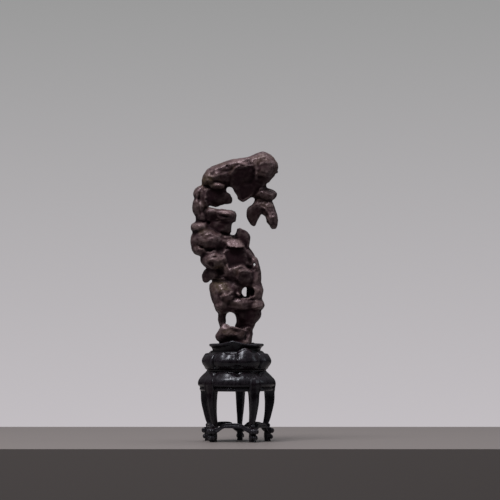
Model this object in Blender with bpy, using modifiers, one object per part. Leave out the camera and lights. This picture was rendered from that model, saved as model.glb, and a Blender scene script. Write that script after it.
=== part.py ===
"""A small scholar's rock, pierced and overhanging, on a carved five-legged hardwood stand.

The stand's upright axis is the reference for every place below: x runs to the right, y away from the
front and z up from the table, in millimetres. FRAME_SHIFT then puts the origin under the middle of the
whole object. A turn is an angle about that axis in degrees, 0 at the front and growing to the right.
"""

import math

import bmesh
import bpy
from mathutils import Matrix, Vector

MM = 0.001
MERGE = 0.0001 * MM
TOUCH_GAP = 0.3
FRAME_SHIFT = (1.8 * MM, 0.0, 0.0)

# The stone: ellipsoids that are fused, swollen and softened, with angular blocks let in, then hollowed,
# then faceted.
ROCK_VOXEL = 1.0 * MM
ROCK_SWELL = 1.1 * MM
ROCK_BLEND_ROUNDS = 7
ROCK_RIM_ROUNDS = 2
ROCK_DRIFT_SIZE = 16.0 * MM
ROCK_DRIFT = 5.5 * MM
ROCK_SCALLOP_SIZE = 9.0 * MM
ROCK_SCALLOP_DEPTH = 2.6 * MM
ROCK_TRIANGLES = 3600

# The stand, turned and carved about the reference axis.
LEG_TURNS = (30, 102, 174, 243, 314)
LEG_HALF_DEPTH = 7
STRETCHER_INNER = 19.9
STRETCHER_OUTER = 22.9
STRETCHER_CLEAR = 3.4
SEAT_FLOOR = 74.8
SEAT_RIM = 80.8
LOBE_TURN = 23.5
LEAF_TURN = -12
TURNED_STEPS = 36
DRUM_VOXEL = 0.9 * MM
DRUM_TRIANGLES = 800

STONE_COLOUR = (0.085, 0.066, 0.06)
LACQUER_COLOUR = (0.022, 0.018, 0.02)


def mass(x, y, z, rx, ry, rz, lean=0, turn=0):
    """An ellipsoid as a placing matrix: centre, radii, lean to the right and turn about z."""
    place = Matrix.Translation(Vector((x, y, z)) * MM) @ Matrix.Rotation(math.radians(turn), 4, "Z")
    place = place @ Matrix.Rotation(math.radians(lean), 4, "Y")
    return place @ Matrix.Diagonal((rx * MM, ry * MM, rz * MM, 1))


HEAD = [
    mass(21.5, 0, 218.6, 9.6, 12, 10.6),
    mass(31.8, -2, 215.2, 1.4, 2, 0.6),
    mass(3, 0, 214.2, 19, 12, 9.4, -13),
    mass(-17, -1, 210.5, 8.6, 13, 7.4),
    mass(-15, -11, 204.6, 6, 3.5, 2),
    mass(6.5, 2, 203, 6.4, 8, 8),
    mass(4.6, 0, 195.5, 1.6, 3, 3.6, -16),
    mass(15, 1, 204, 8, 8, 8),
]
PENDANT = [
    mass(24, -1, 197.5, 7, 6, 4.2, 4),
    mass(21, 0, 190, 5.8, 5, 6),
    mass(15.4, 1, 186, 5, 4, 3.4, -35),
    mass(12.4, 1.5, 180, 2.6, 3.5, 7.6, -8),
    mass(25, -1, 186.5, 4, 4.5, 5),
    mass(28.6, -1, 178, 3.2, 4, 8, -8),
]
COLUMN = [
    mass(-28.6, 0, 198, 4, 8, 4.4),
    mass(-24, 0, 195, 4.6, 9, 8),
    mass(-29.8, 0, 187.5, 4.4, 8, 7),
    mass(-27.4, 0, 180, 4.2, 8, 6),
    mass(-15, 1.5, 197.8, 10.8, 10, 7.8),
    mass(-7.5, 3, 193.5, 3.6, 7, 3),
    mass(-9, -3, 181, 7.8, 10, 3.6),
    mass(-19, -1, 183, 7, 9, 3),
    mass(-6, -1, 177.5, 4, 8, 3),
    mass(-18, 2, 180.5, 9, 9, 4),
    mass(-14, 6, 171, 8.8, 8, 7),
    mass(-12, -1, 171, 8.4, 9, 5.6),
]
SHOULDERS = [
    mass(-23.1, 0, 160.5, 12.3, 15, 10.6),
    mass(-28.8, -1, 171, 6, 10, 4),
    mass(-29, -2, 154, 5.6, 10, 4.4),
    mass(-18, -2, 146, 9.4, 12, 7.5),
    mass(-9, 2, 158, 11, 12, 6.6),
    mass(4.4, 3, 160.5, 5, 8, 8.2, 4),
    mass(2, 3, 168, 1.1, 3, 2.4),
    mass(-1, -7, 157.5, 7, 6, 2.4, 8),
]
WAIST = [
    mass(8.8, 1, 148.6, 2.8, 7, 5.4, -38),
    mass(14.4, 0, 140.8, 2.6, 7, 6.4, -15),
    mass(14.6, 0, 130, 3, 8, 9.4),
    mass(15.4, 0, 118, 4.2, 9, 9),
    mass(15.8, -1, 109.5, 6, 10, 4.4),
    mass(3, 6, 145, 11, 7, 11),
    mass(1.6, 0, 146.6, 9.6, 10, 9.4),
    mass(-3, 2, 135, 13, 12, 9),
    mass(6, -2, 132, 7, 10, 6.4),
    mass(-24.2, 3, 132.8, 2.8, 4.5, 4.8, 8),
    mass(-19, 3, 139.5, 3.6, 5, 6),
    mass(-18, 2, 134.5, 4, 8, 5),
]
LOWER_BODY = [
    mass(-10.4, 0, 119, 10, 14, 10.2),
    mass(-14, -1, 123.6, 6.3, 11, 4.2),
    mass(-10.5, 0, 109.6, 5.8, 11, 7.4),
    mass(3, 0, 110, 14, 12, 4.2),
    mass(-3.4, 2, 105.6, 6, 8, 3.2),
    mass(3.4, 6, 97, 4, 4.5, 9),
    mass(-1, 1, 122, 7, 11, 7),
    mass(8, 2, 127, 8, 10, 3),
    mass(10.5, 7, 119, 5, 4, 7),
]
FOOT = [
    mass(-11.8, 1, 98, 1.8, 6, 9),
    mass(10.5, 2, 101.6, 8.6, 9.4, 6),
    mass(8.2, 2, 88, 3.2, 7, 13),
    mass(5.4, 6, 98, 6, 5, 9),
    mass(9.4, 2, 93.5, 4, 8, 6, 25),
    mass(-4, -2, 85.6, 9, 8, 4),
    mass(-12.4, -2, 84, 3.4, 5, 3.2),
    mass(-1, 0, 77.5, 12.2, 9.6, 5),
]
THROUGH = 30
HOLLOWS = [
    mass(-4.3, 0, 97.6, 4.3, THROUGH, 6.2, -15),
    mass(6, 0, 119.5, 2.1, THROUGH, 4),
    mass(14.3, 0, 141.3, 1.6, THROUGH, 2.2),
    mass(-2.1, 0, 171, 2.2, THROUGH, 4.6, 6),
    mass(-6, 0, 201, 2.6, THROUGH, 2.6),
    mass(-2.4, 0, 197, 2.2, THROUGH, 4.6, -38),
    mass(-5, 0, 188.2, 8.8, THROUGH, 1.9, -10),
    mass(11.4, -15, 98.4, 15, 8.6, 8.2),
    mass(11.2, -11, 119.3, 3.2, 11, 3.9),
    mass(0.6, -17, 147.8, 10.4, 6.4, 6.8),
    mass(-13, -16, 171.6, 10, 6.4, 5.2),
    mass(-19, 0, 187.2, 6, THROUGH, 0.6, 14),
    mass(-10, 0, 187.4, 4, THROUGH, 1, -6),
    mass(-29, -15, 155.6, 4, 3.4, 1.6, 30),
    mass(-22, -17, 152, 5.4, 5, 1.8, 22),
    mass(-30, -13, 176, 5, 6, 1.2, -6),
    mass(-13, -15.5, 134, 3.6, 3.6, 2, -22),
    mass(7, -17, 133, 5, 5, 4, 20),
    mass(9, 16, 216, 9, 6, 4, -12),
    mass(-13, 16, 216, 5, 5, 6, 20),
    mass(-22, 14, 190, 6, 6, 5, 20),
    mass(-10, 17, 178, 7, 6, 3.4, 24),
    mass(-26, 17, 163, 7.4, 5, 3.6, 40),
    mass(-8, 18, 153, 8, 6, 4.4, -22),
    mass(-15, 17, 140, 4.4, 6, 7, 14),
    mass(5, 17, 139, 5, 6, 8, -18),
    mass(-11, 18, 121, 4.6, 6, 8, 32),
    mass(13, 14, 117, 4, 6, 6.4, 12),
    mass(11, 16, 97, 6, 6, 6.4, 10),
]

# Angular blocks with flat faces let into the stone, each the hull of its corners.
BLOCKS = [
    # sloping shelf in the middle of the front
    [(-8.5, -9, 158.6), (-3.8, -7, 161.6), (-1.8, -6, 162.6), (1, -7.5, 161), (5, -9, 159.6),
     (7.6, -9.5, 155.4), (3, -14.2, 154.4), (-6.4, -14, 155), (-8, 0, 158), (6, 0, 156)],
    # spire with its flat front
    [(0.4, -1, 170.6), (2.6, -3, 171), (5.6, -4, 169.4), (9, -4.5, 165.8), (10.6, -4.5, 161),
     (10.2, -4.5, 155), (4, -6.5, 158), (0.4, -5.5, 165), (0.6, 6, 169.6), (5.6, 8, 168), (9.6, 8, 163),
     (10, 8, 156), (0, 8, 160)],
    # block at the front of the foot
    [(-10.8, -8, 94.8), (-8.2, -9, 94.4), (-2, -11, 91), (6.6, -10, 89.4), (8, -8.5, 88), (5, -10.5, 82.5),
     (-6, -12.4, 85.6), (-13.6, -9.4, 89.6), (-17.6, -6, 83.8), (-15.4, -7, 80), (4, -8, 79.6), (-14, 2, 80),
     (-14.5, 0, 88), (5, 0, 88), (-10, 0, 92), (4, 0, 80)],
]

# Faceted slabs: the bevel round the rim, the front and back faces' depths, then the outline x z.
SLABS = [
    # crest
    (5, -12.4, 11, (-27.4, 205), (-27.8, 209), (-26.6, 213), (-24, 216.2), (-20, 219.8), (-15, 221.3),
     (-10, 223.3), (-5, 225.2), (0, 226), (7, 226.6), (12, 227.6), (12, 212), (2, 206), (-10, 206),
     (-20, 203.4)),
    # bulb
    (4.4, -12.6, 11, (8, 226.8), (15, 229.8), (18, 231.1), (21.5, 231.8), (25, 230.4), (29, 227.8), (31, 225),
     (33.1, 222), (33.4, 218), (30, 213.6), (28.4, 211), (26, 207), (16, 205), (8, 214)),
    # point under the crest
    (1.6, -8, 8, (-3.6, 204), (-0.6, 199.6), (0.6, 197), (0.7, 194), (3, 192.2), (5.3, 191.2),
     (6.8, 192.4), (9, 194.6),
     (12, 195.4), (16, 200), (14, 206), (0, 207)),
    # pendant's stub and prong
    (1.8, -4, 5, (8.9, 183), (10, 185.6), (12.6, 187.6), (16, 189), (20, 188), (20.4, 183), (16.4, 178.6),
     (15.2, 174), (14.2, 171.8), (11.6, 173.2), (10, 176), (9, 179)),
    (2, -6, 4, (22, 189), (28, 190.5), (29, 187), (31.4, 184.5), (32.8, 181), (33, 176), (32.3, 172.4),
     (30.5, 170.2), (28.4, 171), (26, 173), (24.2, 175), (23.4, 179)),
]

# Profiles of the turned pieces, (radius, height), from the top down the outer side and back to the axis.
COLLAR_PROFILE = [
    (0, 77.4), (15, 77.6), (18.6, 77.6), (20.4, 78.2), (21.5, 77.8), (21.9, 76.8), (21.4, 75.8),
    (20.2, 74.9), (19.5, 73.4), (19.4, 71.6), (19.7, 70.3), (9, 70.3), (9, 66), (0, 66),
]
COLLAR_POCKET = [
    (0, 90), (22.3, 90), (22.3, 75.2), (20.6, 74.4), (20.1, 73.4), (20.1, 70), (9.3, 70), (9.3, 65.7),
    (0, 65.7),
]
DRUM_TRIM = [(0, 90), (34, 90), (34, 56.3), (0, 56.3)]
APRON_PROFILE = [
    (0, 56), (22.8, 56), (23.6, 54.9), (26.4, 53.4), (29, 51.2), (30.6, 48.8), (31, 46.6), (30.5, 44),
    (29.5, 43.4), (30, 42), (29.4, 40.6), (26.2, 40.6), (26, 46), (0, 46),
]
APRON_TRIM = [(0, 56), (24.5, 56), (24.5, 60), (40, 60), (40, 30), (0, 30)]
DRUM_TENON = [(0, 60), (19.7, 60), (19.7, 53.3), (0, 53.3)]
DRUM_MORTISE = [(0, 60), (20, 60), (20, 53), (0, 53)]

# A leg seen from its side, (radius, height), and the half widths of its front, (half width, height).
LEG_OUTER = [
    (30.3, 44), (30.5, 38), (30.9, 34), (30.2, 28), (29.1, 24), (28.1, 20), (26.6, 16), (25.6, 12.4),
    (26.6, 11), (29, 10.6), (30.2, 8.9), (29.6, 7), (28.4, 6.2), (29.3, 4.8), (28.9, 3), (27.6, 2.2), (28, 0),
]
LEG_INNER = [(23, 0), (22.4, 4), (22.6, 8), (21.4, 12), (22.2, 17), (22.9, 22), (23.3, 28), (23, 36),
             (22.6, 44)]
LEG_FRONT = [
    (5.6, 44), (4.3, 42.6), (3.5, 40), (3.4, 33), (3.1, 27), (2.3, 20), (2, 15), (2, 12),
    (2.8, 10.5), (3, 8.4), (2.5, 6.2), (2.7, 4.4), (2.2, 2.4), (2.4, 0),
]

# A humpbacked stretcher from its middle to one end, (place along it, height), over and under.
STRETCHER_OVER = [(4.2, 15), (5.8, 14.3), (7.6, 12.4), (9.2, 11.4), (13, 11)]
STRETCHER_UNDER = [(13, 6.6), (9.6, 7.2), (7.6, 8.6), (6, 10.4), (4.6, 11.1)]


def new_object(name, mesh):
    item = bpy.data.objects.new(name, mesh)
    bpy.context.scene.collection.objects.link(item)
    return item


def applied(item, name):
    """A new mesh object that holds the evaluated shape in world coordinates, with the old one removed."""
    graph = bpy.context.evaluated_depsgraph_get()
    graph.update()
    mesh = bpy.data.meshes.new_from_object(item.evaluated_get(graph))
    mesh.name = name
    mesh.transform(item.matrix_world)
    build = bmesh.new()
    build.from_mesh(mesh)
    bmesh.ops.remove_doubles(build, verts=build.verts, dist=MERGE)
    build.to_mesh(mesh)
    build.free()
    bpy.data.objects.remove(item)
    return new_object(name, mesh)


def ellipsoids(name, places, segments=24, rings=16):
    """One mesh holding a unit sphere put through every placing matrix."""
    mesh = bpy.data.meshes.new(name)
    build = bmesh.new()
    for place in places:
        bmesh.ops.create_uvsphere(build, u_segments=segments, v_segments=rings, radius=1, matrix=place)
    build.to_mesh(mesh)
    build.free()
    return new_object(name, mesh)


def hull(name, corners):
    """The solid that just holds the corners."""
    mesh = bpy.data.meshes.new(name)
    build = bmesh.new()
    for corner in corners:
        build.verts.new(Vector(corner) * MM)
    made = bmesh.ops.convex_hull(build, input=build.verts)
    inside = [part for part in made["geom_interior"] if isinstance(part, bmesh.types.BMVert)]
    bmesh.ops.delete(build, geom=inside, context="VERTS")
    bmesh.ops.recalc_face_normals(build, faces=build.faces)
    build.to_mesh(mesh)
    build.free()
    return new_object(name, mesh)


def slab_corners(bevel, front, back, *outline):
    """Corners of a faceted slab: its outline at mid depth, drawn in by the bevel at the front and back."""
    middle = Vector((sum(x for x, _ in outline), sum(z for _, z in outline))) / len(outline)
    corners = []
    for x, z in outline:
        rim = Vector((x, z))
        inner = middle + (rim - middle) * (1 - bevel / (rim - middle).length)
        corners.append((inner.x, front, inner.y))
        corners.append((x, 0.4 * front, z))
        corners.append((x, 0.3 * back, z))
        corners.append((inner.x, back, inner.y))
    return corners


def joined(name, items):
    """One mesh holding every item's mesh."""
    mesh = bpy.data.meshes.new(name)
    build = bmesh.new()
    for item in items:
        build.from_mesh(item.data)
        bpy.data.objects.remove(item)
    build.to_mesh(mesh)
    build.free()
    return new_object(name, mesh)


def turned(name, profile, steps=TURNED_STEPS):
    """A profile of (radius, height) turned about the axis."""
    mesh = bpy.data.meshes.new(name)
    points = [(radius * MM, 0, height * MM) for radius, height in profile]
    mesh.from_pydata(points, [(i, i + 1) for i in range(len(points) - 1)], [])
    item = new_object(name, mesh)
    screw = item.modifiers.new("Screw", "SCREW")
    screw.steps = steps
    screw.render_steps = steps
    screw.use_merge_vertices = True
    screw.merge_threshold = MERGE
    return applied(item, name)


def extruded(name, outline, half_depth, axes):
    """A closed outline extruded both ways; axes is the matrix that stands the outline up."""
    curve = bpy.data.curves.new(name, "CURVE")
    curve.dimensions = "2D"
    curve.fill_mode = "BOTH"
    curve.extrude = half_depth * MM
    spline = curve.splines.new("POLY")
    spline.points.add(len(outline) - 1)
    for point, (across, up) in zip(spline.points, outline):
        point.co = (across * MM, up * MM, 0, 1)
    spline.use_cyclic_u = True
    item = new_object(name, curve)
    item.matrix_world = axes
    return applied(item, name)


def cut(item, operation, other):
    """Item joined with, cut by or kept inside the other, which is used up."""
    name = item.name
    boolean = item.modifiers.new(operation.title(), "BOOLEAN")
    boolean.operation = operation
    boolean.solver = "EXACT"
    boolean.object = other
    item = applied(item, name)
    bpy.data.objects.remove(other)
    return item


def add_remesh(item, size):
    remesh = item.modifiers.new("Remesh", "REMESH")
    remesh.mode = "VOXEL"
    remesh.voxel_size = size


def add_smooth(item, rounds):
    smooth = item.modifiers.new("Smooth", "SMOOTH")
    smooth.factor = 0.5
    smooth.iterations = rounds


def add_swell(item, distance):
    swell = item.modifiers.new("Swell", "DISPLACE")
    swell.mid_level = 0
    swell.strength = distance


def add_drift(item):
    """A slow wandering of the surface in depth only, so the front outline stays."""
    clouds = bpy.data.textures.new("drift", "CLOUDS")
    clouds.noise_scale = ROCK_DRIFT_SIZE
    clouds.noise_depth = 0
    drift = item.modifiers.new("Drift", "DISPLACE")
    drift.texture = clouds
    drift.direction = "Y"
    drift.mid_level = 0.5
    drift.strength = ROCK_DRIFT


def add_scallops(item):
    """Shallow dimples with ridges between them, as running water leaves."""
    cells = bpy.data.textures.new("scallops", "VORONOI")
    cells.noise_scale = ROCK_SCALLOP_SIZE
    scallop = item.modifiers.new("Scallops", "DISPLACE")
    scallop.texture = cells
    scallop.mid_level = 0.45
    scallop.strength = ROCK_SCALLOP_DEPTH


def add_facets(item, triangles):
    """Reduce the surface to about this many triangles."""
    item.data.calc_loop_triangles()
    facets = item.modifiers.new("Facets", "DECIMATE")
    facets.ratio = triangles / len(item.data.loop_triangles)


def turn_matrix(turn):
    """The matrix that turns something modelled along +X to a turn counted from the front."""
    return Matrix.Rotation(math.radians(turn - 90), 4, "Z")


def facing_matrix(radius):
    """The matrix that stands an outline up facing +X at a radius."""
    place = Matrix.Translation((radius * MM, 0, 0)) @ Matrix.Rotation(math.radians(90), 4, "Z")
    return place @ Matrix.Rotation(math.radians(90), 4, "X")


def round_masses(count, first_turn, radius, height, radial, tangential, vertical):
    """Equal ellipsoids spaced evenly round the axis."""
    places = []
    for i in range(count):
        place = turn_matrix(first_turn + i * 360 / count)
        places.append(place @ mass(radius, 0, height, radial, tangential, vertical))
    return places


def seat_plug(name, clearance):
    """The tapered oval that the collar's socket and the stone's foot are both cut to."""
    mesh = bpy.data.meshes.new(name)
    build = bmesh.new()
    low = SEAT_FLOOR + clearance
    high = 90
    place = Matrix.Translation(Vector((-1, 0, (low + high) / 2)) * MM) @ Matrix.Diagonal((1, 0.86, 1, 1))
    bmesh.ops.create_cone(
        build, cap_ends=True, segments=40, matrix=place, depth=(high - low) * MM,
        radius1=(14.4 - clearance) * MM, radius2=(18.4 - clearance) * MM,
    )
    build.to_mesh(mesh)
    build.free()
    return new_object(name, mesh)


def make_rock():
    body = ellipsoids("rock_masses", HEAD + PENDANT + COLUMN + SHOULDERS + WAIST + LOWER_BODY + FOOT)
    add_remesh(body, ROCK_VOXEL)
    add_swell(body, ROCK_SWELL)
    add_smooth(body, ROCK_BLEND_ROUNDS)
    add_drift(body)
    add_scallops(body)
    blocks = [hull("block", corners) for corners in BLOCKS]
    blocks += [hull("slab", slab_corners(*numbers)) for numbers in SLABS]
    body = joined("rock", [applied(body, "rock")] + blocks)
    add_remesh(body, ROCK_VOXEL)
    add_smooth(body, 1)
    body = applied(body, "rock")
    cutter = ellipsoids("rock_hollows", HOLLOWS)
    add_remesh(cutter, ROCK_VOXEL)
    body = cut(body, "DIFFERENCE", applied(cutter, "rock_hollows"))
    add_remesh(body, ROCK_VOXEL)
    add_smooth(body, ROCK_RIM_ROUNDS)
    body = applied(body, "rock")
    add_facets(body, ROCK_TRIANGLES)
    body = applied(body, "rock")
    around = turned("foot_trim", [(0, SEAT_RIM), (40, SEAT_RIM), (40, 60), (0, 60)])
    around = cut(around, "DIFFERENCE", seat_plug("foot_plug", TOUCH_GAP))
    return cut(body, "DIFFERENCE", around)


def make_collar():
    """The cup the stone stands in, with a rolled lip, six leaves round the foot and a tenon below."""
    collar = turned("seat_collar", COLLAR_PROFILE)
    leaves = round_masses(2, LEAF_TURN, 15, 76.4, 2.8, 6.6, 4)
    leaves += round_masses(4, LEAF_TURN + 45, 15.2, 76, 2.8, 6.6, 2.8)
    for place in leaves:
        collar = cut(collar, "UNION", ellipsoids("leaf", [place], 10, 6))
    return cut(collar, "DIFFERENCE", seat_plug("seat_plug", 0))


def make_drum():
    """The lobed body: eight lobes over a round waist, two of them tall and two half way up."""
    shapes = round_masses(8, LOBE_TURN, 17, 64.6, 12.4, 14, 8.4)
    shapes += round_masses(2, LOBE_TURN, 20.8, 69, 4.8, 8, 6.8)
    shapes += round_masses(2, LOBE_TURN + 45, 21, 67.6, 5, 8, 5.6)
    shapes.append(mass(0, 0, 56.5, 24, 24, 9))
    drum = ellipsoids("drum", shapes)
    add_remesh(drum, DRUM_VOXEL)
    add_smooth(drum, 2)
    drum = applied(drum, "drum")
    add_facets(drum, DRUM_TRIANGLES)
    drum = applied(drum, "drum")
    drum = cut(drum, "INTERSECT", turned("drum_trim", DRUM_TRIM))
    drum = cut(drum, "UNION", turned("drum_tenon", DRUM_TENON, 24))
    return cut(drum, "DIFFERENCE", turned("collar_pocket", COLLAR_POCKET))


def make_leg():
    """One leg along +X: its side outline kept inside its front outline."""
    upright = Matrix.Rotation(math.radians(90), 4, "X")
    leg = extruded("leg", LEG_OUTER + LEG_INNER, LEG_HALF_DEPTH, upright)
    half = [(-width, height) for width, height in reversed(LEG_FRONT)]
    return cut(leg, "INTERSECT", extruded("leg_front", LEG_FRONT + half, 9, facing_matrix(26)))


def make_apron():
    """The shouldered ring under the drum, with eight lappets round its top and a notch for each leg."""
    apron = turned("apron_ring", APRON_PROFILE)
    for place in round_masses(8, LOBE_TURN, 24.4, 51.4, 3, 8.4, 5.6):
        apron = cut(apron, "UNION", ellipsoids("lappet", [place], 10, 6))
    apron = cut(apron, "INTERSECT", turned("apron_trim", APRON_TRIM))
    widened = [(width + TOUCH_GAP, height + TOUCH_GAP) for width, height in LEG_FRONT[:3]]
    outline = widened + [(-width, height) for width, height in reversed(widened)]
    for turn in LEG_TURNS:
        apron = cut(apron, "DIFFERENCE", extruded("leg_notch", outline, 10, turn_matrix(turn) @ facing_matrix(33)))
    return cut(apron, "DIFFERENCE", turned("drum_mortise", DRUM_MORTISE, 24))


def make_stretcher(name, turn, next_turn):
    """A humpbacked bar between two legs, mitred to lie clear of both."""
    half_angle = math.radians((next_turn - turn) / 2)
    plan = []
    for reach in (STRETCHER_INNER, STRETCHER_OUTER):
        plan.append((reach, (reach * math.sin(half_angle) - STRETCHER_CLEAR) / math.cos(half_angle)))
    plan += [(reach, -side) for reach, side in reversed(plan)]
    middle = turn_matrix((turn + next_turn) / 2)
    bar = extruded(name, plan, 20, middle)
    side = STRETCHER_OVER + STRETCHER_UNDER
    side += [(-along, height) for along, height in reversed(side)]
    return cut(bar, "INTERSECT", extruded("hump", side, 6, middle @ facing_matrix(21)))


def make_material(name, colour, roughness):
    material = bpy.data.materials.new(name)
    material.use_nodes = True
    shader = material.node_tree.nodes["Principled BSDF"]
    shader.inputs["Base Color"].default_value = (*colour, 1)
    shader.inputs["Roughness"].default_value = roughness
    material.diffuse_color = (*colour, 1)
    return material


def finish(item, material, collection, sharp_angle):
    """Dress a finished piece, file it under the object's collection and put it in the common frame."""
    item.data.materials.clear()
    item.data.materials.append(material)
    item.data.shade_smooth()
    item.data.set_sharp_from_angle(angle=sharp_angle)
    for old in list(item.users_collection):
        old.objects.unlink(item)
    collection.objects.link(item)
    item.matrix_world = Matrix.Translation(FRAME_SHIFT) @ item.matrix_world


def main():
    for item in list(bpy.data.objects):
        bpy.data.objects.remove(item)
    collection = bpy.data.collections.new("scholars_rock_on_stand")
    bpy.context.scene.collection.children.link(collection)
    stone = make_material("stone", STONE_COLOUR, 0.42)
    finish(make_rock(), stone, collection, math.radians(75))
    stand = [make_collar(), make_drum(), make_apron()]
    leg = make_leg()
    for i, turn in enumerate(LEG_TURNS):
        copy = new_object(f"leg_{i + 1}", leg.data.copy())
        copy.matrix_world = turn_matrix(turn)
        stand.append(copy)
    bpy.data.objects.remove(leg)
    for i, turn in enumerate(LEG_TURNS):
        next_turn = LEG_TURNS[(i + 1) % len(LEG_TURNS)]
        if next_turn < turn:
            next_turn += 360
        stand.append(make_stretcher(f"stretcher_{i + 1}", turn, next_turn))
    lacquer = make_material("lacquer", LACQUER_COLOUR, 0.3)
    for item in stand:
        finish(item, lacquer, collection, math.radians(38))


main()
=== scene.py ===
"""The scholar's rock and its carved five-legged stand, with fine relief and procedural finishes.

Numbers in the lists are millimetres measured from the stand's upright axis: x to the right, y away from the
front, z up from the table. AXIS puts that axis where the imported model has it.
"""
import math

import bmesh
import bpy
import numpy as np
from mathutils import Matrix, Vector, noise


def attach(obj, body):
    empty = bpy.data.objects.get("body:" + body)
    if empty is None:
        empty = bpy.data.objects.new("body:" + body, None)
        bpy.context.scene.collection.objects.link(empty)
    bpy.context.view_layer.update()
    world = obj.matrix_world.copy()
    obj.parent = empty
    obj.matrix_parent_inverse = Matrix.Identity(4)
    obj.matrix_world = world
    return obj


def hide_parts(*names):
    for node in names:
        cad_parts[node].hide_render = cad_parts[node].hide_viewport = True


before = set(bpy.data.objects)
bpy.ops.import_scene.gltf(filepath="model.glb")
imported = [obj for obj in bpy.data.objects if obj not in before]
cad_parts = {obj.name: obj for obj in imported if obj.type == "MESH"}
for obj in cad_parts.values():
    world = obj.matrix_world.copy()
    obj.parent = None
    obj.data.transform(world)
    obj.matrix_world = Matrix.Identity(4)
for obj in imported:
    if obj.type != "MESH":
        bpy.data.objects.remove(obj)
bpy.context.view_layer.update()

MM = 0.001
AXIS = Vector((1.8, 0, 0)) * MM

WORK_VOXEL = 0.7 * MM
ROCK_VOXEL = 0.62 * MM
ROCK_SWELL = 1.1 * MM
ROCK_BLEND_ROUNDS = 15
ROCK_RIM_ROUNDS = 3
FLATTEN_REACH = 6
ROCK_DRIFT, ROCK_DRIFT_SIZE = 5.5 * MM, 16 * MM
ROCK_SCALLOP_DEPTH, ROCK_SCALLOP_SIZE = 2.6 * MM, 9 * MM

PALE, DARK = 0, 1

# Turns are degrees about the axis, 0 at the front and growing to the right.
LEG_TURNS = (30, 102, 174, 243, 314)
LOBES = 8
LOBE_WIDTH = 360 / LOBES
LOBE_TURN = 23.5
# Leaves round the stone's foot: turn, rise, half width in degrees.
COLLAR_LEAVES = (
    (-12, 2.2, 30), (33, 1.2, 20), (123, 1.6, 22), (168, 2.2, 30), (213, 1.5, 20), (303, 1.2, 22),
)
STRETCHER_RADIUS = 21.4
STRETCHER_HALF_WIDTH = 1.35
STRETCHER_END_INSET = 1.3
STAND_SHARP_ANGLE = math.radians(50)
LIGHT_AIM = Vector((0, 0, 0.12))
CAMERA_PLACE = (0.0126, -3.8, 0.153)
CAMERA_LENS = 342

# Each ellipsoid: centre x y z, radii x y z, lean to the right in degrees.
ROCK_MASSES = [
    # crest and overhanging bulb
    (21.5, 0, 218.6, 9.6, 12, 10.6), (31.8, -2, 215.2, 1.4, 2, 0.6), (3, 0, 214.2, 19, 12, 9.4, -13),
    (-17, -1, 210.5, 8.6, 13, 7.4), (-15, -11, 204.6, 6, 3.5, 2), (6.5, 2, 203, 6.4, 8, 8),
    (4.6, 0, 195.5, 1.6, 3, 3.6, -16), (15, 1, 204, 8, 8, 8),
    # forked pendant
    (24, -1, 197.5, 7, 6, 4.2, 4), (21, 0, 190, 5.8, 5, 6), (15.4, 1, 186, 5, 4, 3.4, -35),
    (12.4, 1.5, 180, 2.6, 3.5, 7.6, -8), (25, -1, 186.5, 4, 4.5, 5), (28.6, -1, 178, 3.2, 4, 8, -8),
    # left column and its ledge
    (-28.6, 0, 198, 4, 8, 4.4), (-24, 0, 195, 4.6, 9, 8), (-29.8, 0, 187.5, 4.4, 8, 7),
    (-27.4, 0, 180, 4.2, 8, 6), (-15, 1.5, 197.8, 10.8, 10, 7.8), (-7.5, 3, 193.5, 3.6, 7, 3),
    (-9, -3, 181, 7.8, 10, 3.6), (-19, -1, 183, 7, 9, 3), (-6, -1, 177.5, 4, 8, 3), (-18, 2, 180.5, 9, 9, 4),
    (-14, 6, 171, 8.8, 8, 7), (-12, -1, 171, 8.4, 9, 5.6),
    # shoulders and spire
    (-23.1, 0, 160.5, 12.3, 15, 10.6), (-28.8, -1, 171, 6, 10, 4), (-29, -2, 154, 5.6, 10, 4.4),
    (-18, -2, 146, 9.4, 12, 7.5), (-9, 2, 158, 11, 12, 6.6), (4.4, 3, 160.5, 5, 8, 8.2, 4),
    (2, 3, 168, 1.1, 3, 2.4), (-1, -7, 157.5, 7, 6, 2.4, 8),
    # waist
    (8.8, 1, 148.6, 2.8, 7, 5.4, -38), (14.4, 0, 140.8, 2.6, 7, 6.4, -15), (14.6, 0, 130, 3, 8, 9.4),
    (15.4, 0, 118, 4.2, 9, 9), (15.8, -1, 109.5, 6, 10, 4.4), (3, 6, 145, 11, 7, 11),
    (1.6, 0, 146.6, 9.6, 10, 9.4), (-3, 2, 135, 13, 12, 9), (6, -2, 132, 7, 10, 6.4),
    (-24.2, 3, 132.8, 2.8, 4.5, 4.8, 8), (-19, 3, 139.5, 3.6, 5, 6), (-18, 2, 134.5, 4, 8, 5),
    # lower body
    (-10.4, 0, 119, 10, 14, 10.2), (-14, -1, 123.6, 6.3, 11, 4.2), (-10.5, 0, 109.6, 5.8, 11, 7.4),
    (3, 0, 110, 14, 12, 4.2), (-3.4, 2, 105.6, 6, 8, 3.2), (3.4, 6, 97, 4, 4.5, 9), (-1, 1, 122, 7, 11, 7),
    (8, 2, 127, 8, 10, 3), (10.5, 7, 119, 5, 4, 7),
    # two pillars and the foot
    (-11.8, 1, 98, 1.8, 6, 9), (10.5, 2, 101.6, 8.6, 9.4, 6), (8.2, 2, 88, 3.2, 7, 13), (5.4, 6, 98, 6, 5, 9),
    (9.4, 2, 93.5, 4, 8, 6, 25), (-4, -2, 85.6, 9, 8, 4), (-12.4, -2, 84, 3.4, 5, 3.2),
    (-1, 0, 77.5, 12.2, 9.6, 5),
]
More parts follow.
